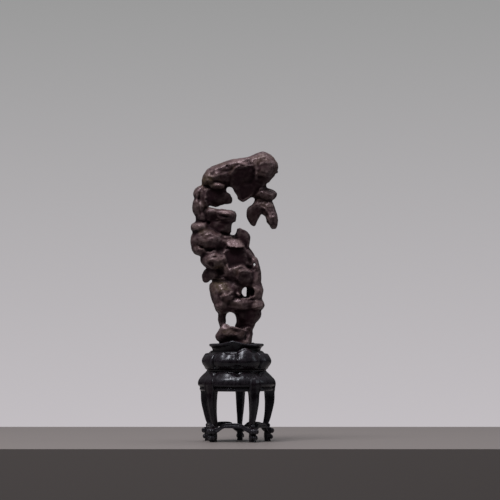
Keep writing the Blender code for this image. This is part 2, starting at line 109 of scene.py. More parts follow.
ROCK_HOLLOWS = [
    # windows that go right through
    (-4.3, 0, 97.6, 4.3, 30, 6.2, -15), (14.3, 0, 141.3, 1.2, 30, 1.6), (-2.1, 0, 171, 2.2, 30, 4.6, 6),
    (-6, 0, 201, 2.6, 30, 2.6), (-2.4, 0, 197, 2.2, 30, 4.6, -38), (-5, 0, 188.2, 8.8, 30, 1.9, -10),
    # deep recesses in the front
    (11.4, -15, 98.4, 15, 8.6, 8.2), (12.2, -11, 119.3, 2.5, 11, 3.9), (0.6, -17, 147.8, 10.4, 6.4, 6.8),
    (-13, -16, 171.6, 10, 6.4, 5.2), (-19, 0, 187.2, 6, 30, 0.8, 14), (-11, 0, 187.1, 5, 30, 1.1, -4),
    # small scoops in the front
    (-29, -15, 155.6, 4, 3.4, 1.6, 30), (-22, -17, 152, 5.4, 5, 1.8, 22), (-30, -13, 176, 5, 6, 1.2, -6),
    (-13, -15.5, 134, 3.6, 3.6, 2, -22), (7, -17, 133, 5, 5, 4, 20),
    # scoops in the back
    (9, 16, 216, 9, 6, 4, -12), (-13, 16, 216, 5, 5, 6, 20), (-22, 14, 190, 6, 6, 5, 20),
    (-10, 17, 178, 7, 6, 3.4, 24), (-26, 17, 163, 7.4, 5, 3.6, 40), (-8, 18, 153, 8, 6, 4.4, -22),
    (-15, 17, 140, 4.4, 6, 7, 14), (5, 17, 139, 5, 6, 8, -18), (-11, 18, 121, 4.6, 6, 8, 32),
    (13, 14, 117, 4, 6, 6.4, 12), (11, 16, 97, 6, 6, 6.4, 10),
]

# Angular blocks with flat faces, each the hull of its corners.
ROCK_CHUNKS = [
    # sloping shelf in the middle of the front
    [(-8.5, -9, 158.6), (-3.8, -7, 161.6), (-1.8, -6, 162.6), (1, -7.5, 161), (5, -9, 159.6),
     (7.6, -9.5, 155.4), (3, -14.2, 154.4), (-6.4, -14, 155), (-8, 0, 158), (6, 0, 156)],
    # spire with its flat front
    [(0.4, -1, 170.6), (2.6, -3, 171), (5.6, -4, 169.4), (9, -4.5, 165.8), (10.6, -4.5, 161),
     (10.2, -4.5, 155), (4, -6.5, 158), (0.4, -5.5, 165), (0.6, 6, 169.6), (5.6, 8, 168), (9.6, 8, 163),
     (10, 8, 156), (0, 8, 160)],
    # block at the front of the foot
    [(-10.8, -8, 94.8), (-8.2, -9, 94.4), (-2, -11, 91), (6.6, -10, 89.4), (8, -8.5, 88), (5, -10.5, 82.5),
     (-6, -12.4, 85.6), (-13.6, -9.4, 89.6), (-17.6, -6, 83.8), (-15.4, -7, 80), (4, -8, 79.6), (-14, 2, 80),
     (-14.5, 0, 88), (5, 0, 88), (-10, 0, 92), (4, 0, 80)],
]

# Faceted slabs: the bevel round the rim, the front and back faces' depths, the outline x z.
ROCK_SLABS = [
    # crest
    (5, -12.4, 11, [-27.4, 205, -27.8, 209, -26.6, 213, -24, 216.2, -20, 219.8, -15, 221.3, -10, 223.3,
     -5, 225.2, 0, 226, 7, 226.6, 12, 227.6, 12, 212, 2, 206, -10, 206, -20, 203.4]),
    # bulb
    (4.4, -12.6, 11, [8, 226.8, 15, 229.8, 18, 231.1, 21.5, 231.8, 25, 230.4, 29, 227.8, 31, 225, 33.1, 222,
     33.4, 218, 30, 213.6, 28.4, 211, 26, 207, 16, 205, 8, 214]),
    # point under the crest
    (1.6, -9.5, 8, [-3.6, 204, -0.6, 199.6, 0.6, 197, 0.7, 194, 3, 192.2, 5.3, 191.2, 6.8, 192.4, 9, 194.6,
     12, 195.4, 16, 200, 14, 206, 0, 207]),
    # pendant's stub and prong
    (1.8, -4, 5, [8.9, 183, 10, 185.6, 12.6, 187.6, 16, 189, 20, 188, 20.4, 183, 16.4, 178.6, 15.2, 174,
     14.2, 171.8, 11.6, 173.2, 10, 176, 9, 179]),
    (2, -6, 4, [22, 189, 28, 190.5, 29, 187, 31.4, 184.5, 32.8, 181, 33, 176, 32.3, 172.4, 30.5, 170.2,
     28.4, 171, 26, 173, 24.2, 175, 23.4, 179]),
]

# Half-round window with its flat side to the right: a slab that is cut away.
ROCK_WINDOW = (0, -25, 25,
               [8.1, 115.2, 8.1, 123.8, 6.4, 123.4, 4.7, 121.8, 3.9, 119.5, 4.6, 117.2, 6.4, 115.6])

# The front's relief and colour, placed as seen from the front.
# Rounded bumps and dents: x z, radii, lean, height towards the viewer.
DOMES = [
    # crest, wedge and bulb
    (3, 222, 14, 4.5, -8, 1.2), (23, 220, 10, 11, 0, 1.6), (-7.6, 219.8, 1.5, 1.3, 0, -1.8),
    (23, 226, 1.5, 1.1, 30, -0.8), (28.3, 221.2, 1.9, 1, -40, -0.8), (26.5, 215.5, 1.5, 1.2, 20, -0.8),
    (19.5, 223.5, 1.2, 1, 0, -0.7), (-15, 204.6, 4.6, 2.5, 6, 2.2), (-20, 214, 3.4, 2.2, -20, -1),
    (29, 226, 1.4, 1, 40, -0.7),
    # column and ledge
    (-24.4, 194.6, 1.4, 1.4, 0, 1.2), (-24.8, 191.6, 1.2, 1.1, 0, 1), (-30, 172.6, 5, 2.4, 8, 1.3),
    # shoulder
    (-22, 160.5, 9, 6.5, 0, 1.4), (-31.2, 162.2, 1.2, 1.1, 0, 0.9), (-32.2, 160, 1.3, 1, 20, 0.8),
    (-28.4, 155.6, 3, 1.2, 30, -1.1), (-21, 152.9, 4.4, 1.2, -6, -1.8), (-20, 163.6, 2.6, 1.6, 10, -0.7),
    # waist
    (-17.6, 147.4, 3, 1.3, 6, -1.5), (-21.4, 142, 2.4, 2, -12, -1), (-18.8, 140.4, 1.6, 1.6, -12, -0.8),
    (-17.4, 141.4, 1, 1.1, 0, 1.6), (-14, 138, 2, 2.2, -15, -1.5), (-12.2, 134.8, 2.5, 1.8, 10, -1),
    (-2, 137.6, 1.4, 1, 0, 0.9), (5, 135.4, 4, 3.6, 0, 1.2), (9, 128.6, 4, 2.4, 0, 1),
    (-13.4, 129.8, 6, 2, 4, 3.2),
    # lower body
    (-13, 125.6, 6.4, 4, 24, 0.9), (-9, 122.4, 5.6, 3, 40, -1), (-9, 115.8, 4.6, 1.5, 4, 0.9),
    (-15, 110, 3, 2.4, 0, -0.7), (2.4, 116.8, 3.2, 1.8, 24, 3), (14, 110.6, 3.4, 1.4, 0, -0.8),
    # pendant
    (26.2, 186.3, 1.1, 0.9, 0, -1.2), (29.2, 181, 1.4, 1.5, 0, -1.6), (29, 175, 1, 1.1, 0, -1),
    (20.4, 196, 1.6, 1, 0, -0.8),
]
# Raised or sunken lines: half width, height, points x z. Raised lines are also painted pale as highlights and
# sunken ones dark as shade.
LINES = [
    # crest, wedge and bulb
    (1, 1.1, [11.5, 223.4, 15, 221.6, 16.4, 217, 15.8, 210]),
    (1.3, -0.4, [11, 220, 13.4, 217, 13.8, 210.5]), (0.8, -0.7, [-18, 207.8, -14, 207.5, -10.4, 205.6]),
    (0.7, 0.5, [-25, 213, -20, 211, -15, 211.6]), (0.7, 0.5, [-24, 208.6, -19.6, 207.6]),
    (0.6, 0.5, [20, 216, 24, 214.6, 29, 216.6]), (0.6, 0.5, [19, 221, 22.5, 222.6, 26.6, 222]),
    (0.6, -0.5, [-14, 217, -9, 215.8, -4, 217]),
    # column and ledge
    (0.9, 0.7, [-31, 200, -32, 190, -30, 180]), (0.8, 0.6, [-27.4, 199, -28.5, 189, -27, 178]),
    (0.7, -0.7, [-29.4, 199, -30.2, 190, -28.6, 180]),
    (0.7, 1.1, [-13, 184.6, -8, 184, -3, 182.6, -0.6, 180]), (0.6, 0.9, [-12, 182.3, -7, 181.8, -3, 180.8]),
    (0.6, -0.9, [-14, 180.6, -9, 180.1, -4, 179.5]), (0.7, 1, [-16, 177.2, -10, 178, -5, 178.5]),
    (0.5, 0.6, [-14, 175.8, -8, 176.3, -5, 177]), (0.8, -1.9, [-32, 175, -28.5, 175.8, -25, 175.5]),
    (0.6, 0.8, [-35, 170, -31, 169.6, -28, 170.6]), (0.6, -0.9, [-36, 168.6, -31, 168.3]),
    # shoulder
    (0.9, 1.7, [-30, 154, -27, 152.7, -24, 151.1, -21, 150.7, -18, 152.3]),
    (0.7, 1.4, [-12.6, 165, -9, 163.8, -7, 163.4, -4, 164.3, -2, 165.7]),
    (0.8, -1.7, [-12, 166.6, -7, 165.7, -3, 166.8]), (0.9, -1, [-9.4, 161.8, -5.5, 162.6]),
    (0.6, 0.6, [-25, 164.6, -20, 166, -15.6, 163.8]), (0.6, -0.5, [-27, 158.8, -21, 157.4, -15, 158.6]),
    # waist
    (0.9, 1.5, [-7.6, 156, -10.2, 152, -9.6, 148, -8.4, 144, -7, 139.5, -5.2, 135.5]),
    (1, 0.8, [8.6, 152, 12, 147.5, 16, 142, 17.6, 136, 18, 128, 18.4, 120]),
    (0.7, 1.2, [6.5, 139.6, 9, 137, 12, 135.3]), (0.6, 0.9, [14, 136, 17.4, 139]),
    (0.7, 1, [1, 139, 3.6, 140, 6.6, 139.2]), (0.5, 0.8, [0, 131.6, 2.5, 128]),
    (0.7, 0.7, [-24.4, 142.6, -22, 144.6, -18, 145, -14, 144, -10.6, 146]),
    (0.9, 0.8, [-12, 141.4, -8.8, 138, -8, 134]), (0.7, 0.9, [-19, 135, -15, 132, -11, 131.9, -8.6, 133]),
    # lower body
    (0.8, 1.3, [-11, 117.2, -7.6, 116.8, -5, 118, -3, 119.6]),
    (0.8, 1.6, [-12, 115.4, -8.6, 116.4, -6.6, 113.8, -4.6, 113.6, -3, 115.6, -1, 115.4]),
    (0.9, 1.5, [1, 118.4, 2.8, 116.6, 5.6, 115, 9, 114.2, 13.5, 115.5]),
    (1, 0.9, [-6, 108, 0, 106.8, 8, 106.4, 15, 106.8, 21, 108]),
    (0.6, 0.6, [-8, 111.5, -4, 112.2, 0, 110.8]), (0.6, -0.5, [-17, 118, -13.6, 116.8, -11, 118.4]),
    (0.6, 0.5, [-17, 122, -15, 119.6, -15.6, 114]),
    # foot
    (0.8, 1.3, [-9, 95, -6, 92.8, -2, 90.9, 2, 90.3, 5.6, 90, 8, 88.5]), (0.7, -0.5, [-3, 88.6, 2, 87.6]),
    (0.6, 0.6, [-13, 86.4, -7, 84.8, 0, 85.6]), (0.6, 0.5, [8.6, 84, 9.4, 80]),
    # pendant
    (0.6, 1, [19, 201.5, 22, 202.4, 26, 203.4, 28, 203]), (0.5, 0.6, [29, 202.3, 32, 201]),
    (0.7, 1.1, [20, 187.4, 23, 186, 25.6, 182.5, 27, 178.4]),
    (0.6, 0.8, [24, 188.4, 27, 185, 29.4, 180, 30.4, 175]), (0.6, -0.7, [22, 185, 24.4, 181, 25.4, 177.4]),
    (0.5, 0.6, [24, 180, 27, 175, 29.6, 172]), (0.6, 0.7, [17, 197.4, 20, 199.4, 24, 198]),
    (0.6, 0.6, [22, 195.4, 26, 197.4, 29, 196.4]), (0.6, -0.7, [15.4, 192, 20.4, 191.4]),
]
# Faces: pale 0 or dark 1, how much, how flat, rise towards the viewer, tilt (above 0 looks up), outline x z.
# Pale faces are partly painted highlight and dark faces partly painted shade.
FACES = [
    # underside of the crest, and its darker inner side, both painted dark as shade
    (1, 0.75, 0.8, -0.6, -0.22, [-2, 218, 2, 220.6, 5, 219.6, 9, 221, 13, 221, 15, 218, 15.4, 212.4,
     19, 212.6, 24, 211, 28, 211.6, 25.4, 206, 22, 203.8, 19, 201.6, 15.6, 196.6, 8.6, 193.8, 5, 190,
     0.6, 193.4, -1, 200.4, -4.6, 203.4, -5, 206.5, -7, 210]),
    (1, 0.8, 0.4, -0.2, -0.1, [-14, 213, -8, 214.4, -3, 212.6, -5, 206.4, -9, 204.4, -10, 207, -13, 209.4]),
    # lip over it, painted pale as a glossy highlight
    (0, 1.5, 0.8, 0.7, 0.9, [-0.6, 222.4, 2.6, 224.4, 5.4, 223.2, 10, 224.4, 10.4, 221.8, 5.4, 220.4,
     2.4, 221.6]),
    # lip under the arch painted pale as a highlight, and the belly below it painted dark as shade
    (0, 1, 0, 0, 0, [-18.6, 206.6, -15, 207.2, -12, 206.6, -10.2, 205, -10.6, 203.6, -14, 203.2,
     -18, 204.6]),
    (1, 0.85, 0.6, 0.4, -0.15, [-24, 202, -18, 203, -13, 202.6, -9, 202, -8, 199.5, -3, 194.6, -2.4, 191.6,
     -8, 188.6, -16, 186.4, -20, 187, -23, 189, -25, 193, -24.6, 198]),
    # ledge and its lower lip painted pale as highlights, and the face under it painted dark as shade
    (0, 1.2, 0, 0, 0, [-14, 185.4, -10, 186.2, -4, 186.4, -1, 184.6, 0.4, 181, -2, 180, -6, 181.6,
     -11, 183]),
    (0, 0.6, 0, 0, 0, [-15, 175.8, -10, 176.6, -6, 178, -5, 179.6, -9, 178.8, -14, 177]),
    (1, 0.9, 0.7, 0.6, -0.1, [-23.6, 184.4, -14, 183.6, -11, 181.6, -6, 180, -0.6, 178.8, -1, 175, -3, 173,
     -4.4, 170, -4.6, 166.6, -10, 166, -16, 166.6, -20, 170, -23, 175]),
    # shoulder: dark rim, violet middle, pale foot of the column painted as a highlight, two scoops painted
    # dark as shade
    (1, 0.6, 0, 0, 0, [-35, 169, -31, 168.4, -30, 164, -32.6, 160, -34, 154, -38, 154, -38, 169]),
    (0, 0.85, 0, 0, 0, [-35.6, 171.4, -33, 174.6, -28, 175, -24.6, 173, -26, 169.4, -31, 169.4]),
    (1, 0.8, 0, -0.7, 0, [-25, 154.6, -21, 155.6, -17, 154.8, -18, 152.4, -22, 151.6]),
    (1, 0.8, 0, -0.5, 0, [-30.4, 156, -27, 157.2, -26.4, 155, -28.6, 154.2]),
    # spire's face painted dark as shade, shelf painted pale as a highlight on paler stone, and the recess
    # under it painted dark as shade
    (1, 1, 0.8, 0, -0.32, [0.2, 165.6, 0.4, 170, 2.5, 171.6, 5.5, 170, 9.4, 166.4, 11.4, 162, 11.2, 157,
     10, 153.6, 8, 153.4, 6.6, 156, 4.6, 159.6, 2, 162.2, -1, 163.6]),
    (0, 1.1, 0.7, 0.3, 0.5, [-8.2, 158.4, -5, 160.6, -2.5, 162.4, 0, 161.6, 2.6, 160, 4.6, 157, 7.6, 154.4,
     3, 155, -5, 155.2, -7, 156.4]),
    (1, 1, 0.85, 0.8, -0.38, [-9, 153, -5.5, 154.6, 0, 154.2, 6, 154.2, 8, 153, 7.6, 148, 9, 144, 12, 141,
     10.5, 140, 7, 141.5, 3, 141.3, -3, 139.6, -6.2, 138, -7.4, 143, -8.6, 148, -10.6, 150.6]),
    # waist: pale flat painted as a highlight on paler stone, its two pits painted dark as shade, the dark
    # lobe, a dark patch, the pale face by the pillar
    (0, 0.9, 0.5, 0, 0.1, [-18, 147.6, -14, 149.6, -11, 149, -10, 146, -8.4, 142, -7, 137, -5, 135,
     -7.6, 134, -9.6, 137, -10.6, 140, -13, 142, -16, 142.6, -19, 144.6]),
    (1, 0.9, 0, -0.9, 0, [-23.2, 143.4, -20.4, 144.4, -18, 143, -17.8, 140.6, -19.4, 139.2, -22, 141]),
    (1, 0.8, 0, -0.6, 0, [-14.6, 137.6, -11.6, 137.4, -10.4, 134.6, -12.4, 132.8, -14.8, 134.4]),
    (1, 0.85, 0.5, 0, -0.1, [-25, 142, -22, 140, -19, 136.4, -18.4, 132, -20.6, 127, -26, 126, -29, 130,
     -26.6, 136]),
    (1, 0.8, 0.6, 0, 0, [2, 136, 6, 137.2, 11, 135, 13, 130, 12, 126, 8, 124.8, 3, 127, 1, 131]),
    (0, 0.55, 0, 0, 0, [14, 135, 17, 140, 20, 137, 21, 124, 24, 110, 21, 106.4, 15, 108, 15.4, 121]),
    # lower body: bright ridges painted as highlights, a brown pocket and the panel behind the window painted
    # dark as shade
    (0, 1.2, 0, 0.5, 0, [-14, 116.4, -9, 117.6, -5, 117, -3.2, 115.2, -5, 113.6, -7, 115.6, -12, 114.8]),
    (0, 1.4, 0, 0.5, 0, [0.8, 118.4, 3, 116.8, 6, 115.4, 9.4, 114.8, 14, 116.4, 14, 115.2, 8, 113.6,
     3, 115]),
    (1, 0.75, 0, -0.3, 0, [-10.6, 121.6, -5.4, 120.6, -3.4, 118.6, -5.6, 117, -8.6, 118.4]),
    (1, 1, 0.8, 0.4, -0.08, [-1.6, 104.6, 3, 105.6, 12, 105.2, 21.6, 105.6, 21, 99.4, 16.6, 95, 13.4, 91,
     8, 91.4, 2, 90.8, 0.4, 93]),
    # foot: pale top facet painted as a highlight, dark underside painted as shade, pale block with a painted
    # highlight
    (0, 1, 0.4, 0.2, 0.2, [-12.8, 90.4, -11, 94.8, -9, 95.6, -6.6, 93.2, -3.6, 91, -7, 89.8, -10, 89.4]),
    (1, 0.9, 0.4, 0, -0.2, [-18.4, 84, -13, 85.8, -8, 84.4, -4, 83, 3, 82.4, 4.6, 80, -14, 79.4]),
    (0, 0.7, 0, 0.3, 0, [5.6, 84.6, 8, 86, 11, 85.2, 13.4, 82, 13, 79, 5.4, 79.6]),
    # pendant: dark stub and pale streaked prong
    (1, 0.8, 0.8, 0, -0.3, [8, 180, 8, 185, 12, 187.8, 15, 190, 18, 190, 20, 186, 20, 181.4, 17, 179.4,
     16, 175, 15, 170, 11, 171, 9, 176]),
    (0, 0.55, 0, 0, 0, [17, 196.6, 19, 200.6, 24, 203.4, 30, 203.6, 33, 200.6, 29, 195, 23, 195]),
]
# Patches of colour: x z, radii, lean, amount.
PATCHES = (
    # pale: paler stone, with painted highlights on lit tops, lips and ridges
    [(4, 225, 15, 3.4, -8, 0.5), (5, 222.6, 6, 1.5, 0, 1.2), (-19, 213, 9, 8, 0, 0.45),
     (-15, 205, 4.4, 2.2, 6, 0.9), (15, 217, 2.4, 7, 0, 0.5), (24, 222, 9, 8, 0, 0.35),
     (23, 198, 8, 5, 0, 0.5), (28, 180, 5, 10, -8, 0.55), (-30, 189, 4, 13, 0, 0.5),
     (-7, 181.5, 9, 4.4, 8, 0.75), (-30, 172.5, 6, 3.4, 8, 0.8), (-22, 160, 9, 8, 0, 0.3),
     (-7, 164.2, 6, 1.6, 0, 0.9), (-1, 158, 9, 4.6, 4, 1.1), (-23, 151.4, 8, 1.5, -4, 0.7),
     (-13, 146, 6, 5, 0, 0.95), (-19, 149, 7, 2.4, 0, 0.6), (-8.5, 138, 3.4, 7, -12, 0.7),
     (-17, 133, 4, 2, 0, 0.5), (4, 139.7, 4, 1.4, 0, 0.8), (16.5, 125, 3.4, 16, 0, 0.5),
     (13, 146, 3, 7, -40, 0.5), (-12, 112, 9, 7, 0, 0.5), (-8, 115.4, 6, 2, 3, 0.9),
     (5, 116, 5, 2, 8, 0.9), (10, 110.4, 13, 4, 0, 0.4), (-9, 92.2, 5, 3.6, 20, 1),
     (1, 88.6, 9, 2.6, 6, 0.5), (8.6, 82.4, 5, 4, 0, 0.7), (-9.6, 152, 1.6, 5, -20, 0.6)],
    # dark: darker stone, with painted shade under overhangs, in recesses and on faces turned from the light
    [(2, 210, 14, 9, -20, 0.8), (8, 201, 11, 9, 0, 0.8), (23, 209, 8, 4, -10, 0.8),
     (-14, 195, 13, 8.6, 0, 1.5), (-20, 181.5, 8, 5, 0, 1), (-12, 171.6, 12.6, 6.8, 0, 1.5),
     (13, 180, 5, 10, -8, 1), (-35.6, 164, 4, 6.6, 0, 0.8), (6, 163.6, 6, 8.6, -12, 1.5),
     (0.4, 148, 12, 7.8, 0, 1.8), (5, 134.4, 6, 4.4, 0, 0.9), (8, 127.6, 6, 3.4, 0, 0.9),
     (-24, 133, 5, 8, 0, 0.9), (-20.4, 141.4, 2.6, 3, 0, 0.8), (10.5, 98.2, 14.6, 8.6, 0, 1.8),
     (-11.6, 98.6, 3, 6, 0, 0.7), (-7, 82.4, 13, 4, 0, 1.2), (-24, 168, 5, 4, 0, 0.3),
     (11, 119, 3.4, 4.6, 0, 1), (-12.4, 134.6, 2.4, 2, 0, 0.6), (-2, 134.6, 3, 3, 0, 0.4)],
    # olive
    [(-23, 208, 7, 10, 0, 1), (-12, 125, 9, 6, 30, 1.2), (-8, 121.6, 6, 4.4, 30, 1.2),
     (-14, 140, 8, 6, 0, 0.6), (-7, 88.4, 8, 3.6, 0, 0.7), (-14, 201.6, 11, 2.6, 0, 0.8),
     (-26, 168, 6, 6, 0, 0.5), (12, 178, 4, 6, 0, 0.5)],
)


def new_object(name, mesh):
    item = bpy.data.objects.new(name, mesh)
    bpy.context.scene.collection.objects.link(item)
    return item


def built(name, build):
    """A new object with the shape in build, which is freed."""
    mesh = bpy.data.meshes.new(name)
    build.to_mesh(mesh)
    build.free()
    return new_object(name, mesh)


def applied(item, name):
    """A mesh object with the evaluated shape of item, which is removed."""
    graph = bpy.context.evaluated_depsgraph_get()
    graph.update()
    mesh = bpy.data.meshes.new_from_object(item.evaluated_get(graph))
    mesh.name = name
    mesh.transform(item.matrix_world)
    bpy.data.objects.remove(item)
    return new_object(name, mesh)


def place(x, y, z, rx, ry, rz, lean=0):
    """The matrix that makes a unit sphere into an ellipsoid."""
    centre = Matrix.Translation(Vector((x, y, z)) * MM)
    leant = centre @ Matrix.Rotation(math.radians(lean), 4, "Y")
    return leant @ Matrix.Diagonal((rx * MM, ry * MM, rz * MM, 1))


def ellipsoids(name, matrices, segments=32, rings=20):
    build = bmesh.new()
    for matrix in matrices:
        bmesh.ops.create_uvsphere(build, u_segments=segments, v_segments=rings, radius=1, matrix=matrix)
    return built(name, build)


def hull(name, corners):
    """The solid that just holds the corners."""
    build = bmesh.new()
    for corner in corners:
        build.verts.new(Vector(corner) * MM)
    made = bmesh.ops.convex_hull(build, input=build.verts)
    inside = [part for part in made["geom_interior"] if isinstance(part, bmesh.types.BMVert)]
    bmesh.ops.delete(build, geom=inside, context="VERTS")
    bmesh.ops.recalc_face_normals(build, faces=build.faces)
    return built(name, build)


def slab(bevel, front, back, outline):
    """Corners of a faceted slab: its outline at mid depth, drawn in by the bevel at the front and back."""
    rim = np.reshape(outline, (-1, 2))
    middle = rim.mean(axis=0)
    reach = np.linalg.norm(rim - middle, axis=1, keepdims=True)
    inner = middle + (rim - middle) * (1 - bevel / reach)
    corners = []
    for shape, depth in ((inner, front), (rim, 0.4 * front), (rim, 0.3 * back), (inner, back)):
        corners += [(x, depth, z) for x, z in shape]
    return corners


def joined(name, items):
    """One object with every item's mesh."""
    build = bmesh.new()
    for item in items:
        build.from_mesh(item.data)
        bpy.data.objects.remove(item)
    return built(name, build)


def add_remesh(item, size):
    remesh = item.modifiers.new("Remesh", "REMESH")
    remesh.mode = "VOXEL"
    remesh.voxel_size = size


def add_smooth(item, rounds):
    smooth = item.modifiers.new("Smooth", "SMOOTH")
    smooth.factor = 0.5
    smooth.iterations = rounds


def add_displace(item, strength, mid_level=0.0, kind=None, size=0.0, direction="NORMAL"):
    displace = item.modifiers.new("Displace", "DISPLACE")
    displace.strength = strength
    displace.mid_level = mid_level
    displace.direction = direction
    if kind:
        texture = bpy.data.textures.new("relief", kind)
        texture.noise_scale = size
        if kind == "CLOUDS":
            texture.noise_depth = 0
        displace.texture = texture


def cut(item, operation, other):
    """Item cut by or kept inside the other, which is used up."""
    name = item.name
    boolean = item.modifiers.new(operation.title(), "BOOLEAN")
    boolean.operation = operation
    boolean.solver = "MANIFOLD"
    boolean.object = other
    item = applied(item, name)
    bpy.data.objects.remove(other)
    return item


def points_of(mesh):
    """Vertex places in millimetres."""
    points = np.empty(len(mesh.vertices) * 3, np.float32)
    mesh.vertices.foreach_get("co", points)
    return points.reshape(-1, 3).astype(np.float64) / MM


def move_points(mesh, points):
    mesh.vertices.foreach_set("co", (points * MM).astype(np.float32).ravel())
    mesh.update()


def normals_of(mesh):
    normals = np.empty(len(mesh.vertices) * 3, np.float32)
    mesh.vertex_normals.foreach_get("vector", normals)
    return normals.reshape(-1, 3).astype(np.float64)


def ramp(values, low, high):
    """0 below low, 1 above high, eased between."""
    share = np.clip((values - low) / (high - low), 0, 1)
    return share * share * (3 - 2 * share)


def neighbour_mean(mesh):
    """A function that replaces each vertex's value with the mean of its neighbours' values."""
    edges = np.empty(len(mesh.edges) * 2, np.int32)
    mesh.edges.foreach_get("vertices", edges)
    first, second = edges.reshape(-1, 2).T
    count = len(mesh.vertices)
    degree = np.maximum(np.bincount(first, minlength=count) + np.bincount(second, minlength=count), 1)

    def mean(values):
        columns = []
        for column in np.atleast_2d(values.T):
            total = np.bincount(first, column[second], count) + np.bincount(second, column[first], count)
            columns.append(total / degree)
        return np.array(columns).T.reshape(values.shape)

    return mean


def spot(points, x, z, rx, rz, lean):
    """1 at the middle of an ellipse seen from the front, falling to 0 at its rim."""
    turn = math.radians(lean)
    dx, dz = points[:, 0] - x, points[:, 2] - z
    across = (dx * math.cos(turn) - dz * math.sin(turn)) / rx
    up = (dx * math.sin(turn) + dz * math.cos(turn)) / rz
    return np.clip(1 - across * across - up * up, 0, None) ** 1.5


def distance(flat, path):
    """How far each place (x, z) is from the path."""
    path = np.reshape(path, (-1, 2))
    nearest = np.full(len(flat), np.inf)
    for start, end in zip(path, path[1:]):
        along = end - start
        share = np.clip((flat - start) @ along / (along @ along), 0, 1)
        nearest = np.minimum(nearest, np.linalg.norm(flat - start - share[:, None] * along, axis=1))
    return nearest


def line(points, half_width, path):
    """1 on a line seen from the front, falling to 0 away from it."""
    return np.exp(-(distance(points[:, (0, 2)], path) / half_width) ** 2)


def within(points, outline, feather=0.7):
    """1 inside an outline seen from the front, falling to 0 just outside it."""
    x, z = points[:, 0], points[:, 2]
    path = np.reshape(outline + outline[:2], (-1, 2))
    inside = np.zeros(len(points), bool)
    for (x0, z0), (x1, z1) in zip(path, path[1:]):
        if z0 != z1:
            crossing = x0 + (z - z0) * (x1 - x0) / (z1 - z0)
            inside ^= ((z0 > z) != (z1 > z)) & (x < crossing)
    depth = distance(points[:, (0, 2)], path)
    return ramp(np.where(inside, depth, -depth), -feather, feather)


def flatten(points, share, rise, tilt):
    """Draw the chosen part of the surface towards its own mean plane, raised and tilted."""
    chosen = share > 0.3
    if chosen.sum() < 20:
        return
    middle = points[chosen].mean(axis=0)
    around = points - middle
    columns = np.stack([around[:, 0], around[:, 2], np.ones(len(points))], axis=1)
    plane, *_ = np.linalg.lstsq(columns[chosen], points[chosen, 1], rcond=None)
    target = columns @ plane - rise + tilt * around[:, 2]
    points[:, 1] += share * np.clip(target - points[:, 1], -FLATTEN_REACH, FLATTEN_REACH)


def front_relief(mesh):
    """Flat faces, bumps, dents and lines pushed into the faces that look forwards."""
    points = points_of(mesh)
    normals = normals_of(mesh)
    mean = neighbour_mean(mesh)
    for _ in range(4):
        normals = mean(normals)
    facing = ramp(-normals[:, 1], 0.05, 0.5)
    for _, _, flatness, rise, tilt, outline in FACES:
        if flatness:
            flatten(points, flatness * facing * within(points, outline), rise / flatness, tilt)
    height = np.zeros(len(points))
    for _, _, flatness, rise, _, outline in FACES:
        if not flatness and rise:
            height += rise * within(points, outline)
    for *ellipse, rise in DOMES:
        height += rise * spot(points, *ellipse)
    for half_width, rise, path in LINES:
        height += rise * line(points, half_width, path)
    points[:, 1] -= height * facing
    move_points(mesh, points)


def rock_shape():
    """Fused, swollen and softened masses with angular blocks let in, then hollowed."""
    body = ellipsoids("rock_masses", [place(*numbers) for numbers in ROCK_MASSES])
    add_remesh(body, WORK_VOXEL)
    add_displace(body, ROCK_SWELL)
    add_smooth(body, ROCK_BLEND_ROUNDS)
    add_displace(body, ROCK_DRIFT, 0.5, "CLOUDS", ROCK_DRIFT_SIZE, "Y")
    add_displace(body, ROCK_SCALLOP_DEPTH, 0.45, "VORONOI", ROCK_SCALLOP_SIZE)
    body = applied(body, "rock_body")
    chunks = ROCK_CHUNKS + [slab(*numbers) for numbers in ROCK_SLABS]
    body = joined("rock_body", [body] + [hull("chunk", corners) for corners in chunks])
    add_remesh(body, WORK_VOXEL)
    add_smooth(body, 2)
    body = applied(body, "rock_body")
    hollows = ellipsoids("rock_hollows", [place(*numbers) for numbers in ROCK_HOLLOWS])
    hollows = joined("rock_hollows", [hollows, hull("window", slab(*ROCK_WINDOW))])
    add_remesh(hollows, WORK_VOXEL)
    body = cut(body, "DIFFERENCE", applied(hollows, "rock_hollows"))
    add_remesh(body, ROCK_VOXEL)
    add_smooth(body, ROCK_RIM_ROUNDS)
    body = applied(body, "rock_body")
    front_relief(body.data)
    add_remesh(body, ROCK_VOXEL)
    add_smooth(body, 1)
    return applied(body, "stone_rock")


def fine_relief(mesh):
    """Small scallops, grain and pits over the whole surface."""
    points = points_of(mesh)
    normals = normals_of(mesh)
    depth = np.empty(len(points))
    for i, point in enumerate(points):
        where = Vector(point)
        near = noise.voronoi(where / 3.6)[0][0]
        wide = noise.noise(where / 11)
        grain = noise.fractal(where / 1.9, 0.7, 2.0, 3)
        depth[i] = (0.7 * min(near, 0.8) - 0.35) * (0.6 + 0.7 * wide) + 0.15 * grain
    calm = np.zeros(len(points))
    for *ellipse, amount in PATCHES[DARK]:
        calm = np.maximum(calm, amount * spot(points, *ellipse))
    calm = np.clip(calm, 0, 0.85) * ramp(-points[:, 1], -6, 4)
    move_points(mesh, points + normals * (depth * (1 - calm))[:, None])


